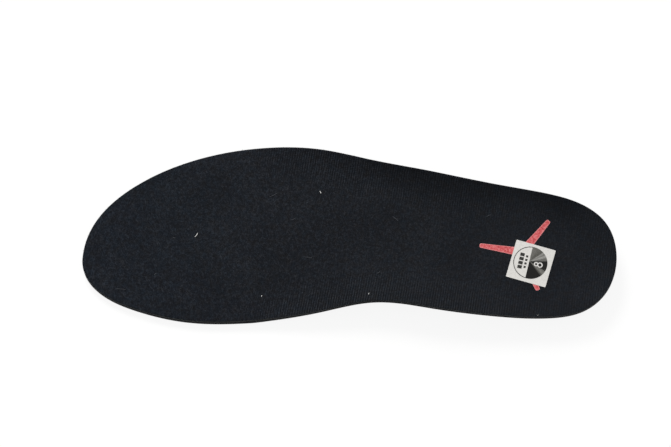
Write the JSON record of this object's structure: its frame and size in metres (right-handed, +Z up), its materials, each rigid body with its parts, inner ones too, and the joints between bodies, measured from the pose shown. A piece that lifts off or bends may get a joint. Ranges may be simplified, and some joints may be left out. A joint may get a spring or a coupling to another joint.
{
  "type": "cushioned insole",
  "caption": "Moulded foam insole for the right shoe, with raised arch, sides and heel cup, brushed knit top cloth, soft pads underneath and a size sticker on the heel.",
  "frame": {"origin": "middle of the bounding box in plan, on the surface that the insole lies on", "axes": "+X from the toe to the heel, +Y to the outer (lateral) edge, -Y to the arch, +Z up towards the foot"},
  "size_m": [0.2661, 0.0926, 0.0162],
  "materials": {
    "knit_cloth": "brushed knit",
    "hot_melt": "black film",
    "eva_foam": "moulded foam skin, cut edge",
    "soft_foam": "soft open foam",
    "contact_cement": "dried cement",
    "transfer_film": "heat-transfer print",
    "sticker_glue": "tacky film",
    "label_paper": "coated paper",
    "label_ink": "printed ink"
  },
  "bodies": {
    "root": {"top_cloth": "knit_cloth", "cloth_adhesive": "hot_melt", "foam_footbed": "eva_foam", "heel_cushion": "soft_foam", "heel_cushion_adhesive": "contact_cement", "forefoot_cushion": "soft_foam", "forefoot_cushion_adhesive": "contact_cement", "heel_mark": "transfer_film", "label_adhesive": "sticker_glue", "size_label": "label_paper", "label_disc": "label_ink", "label_ring": "label_ink", "label_bars": "label_ink"}
  },
  "joints": []
}
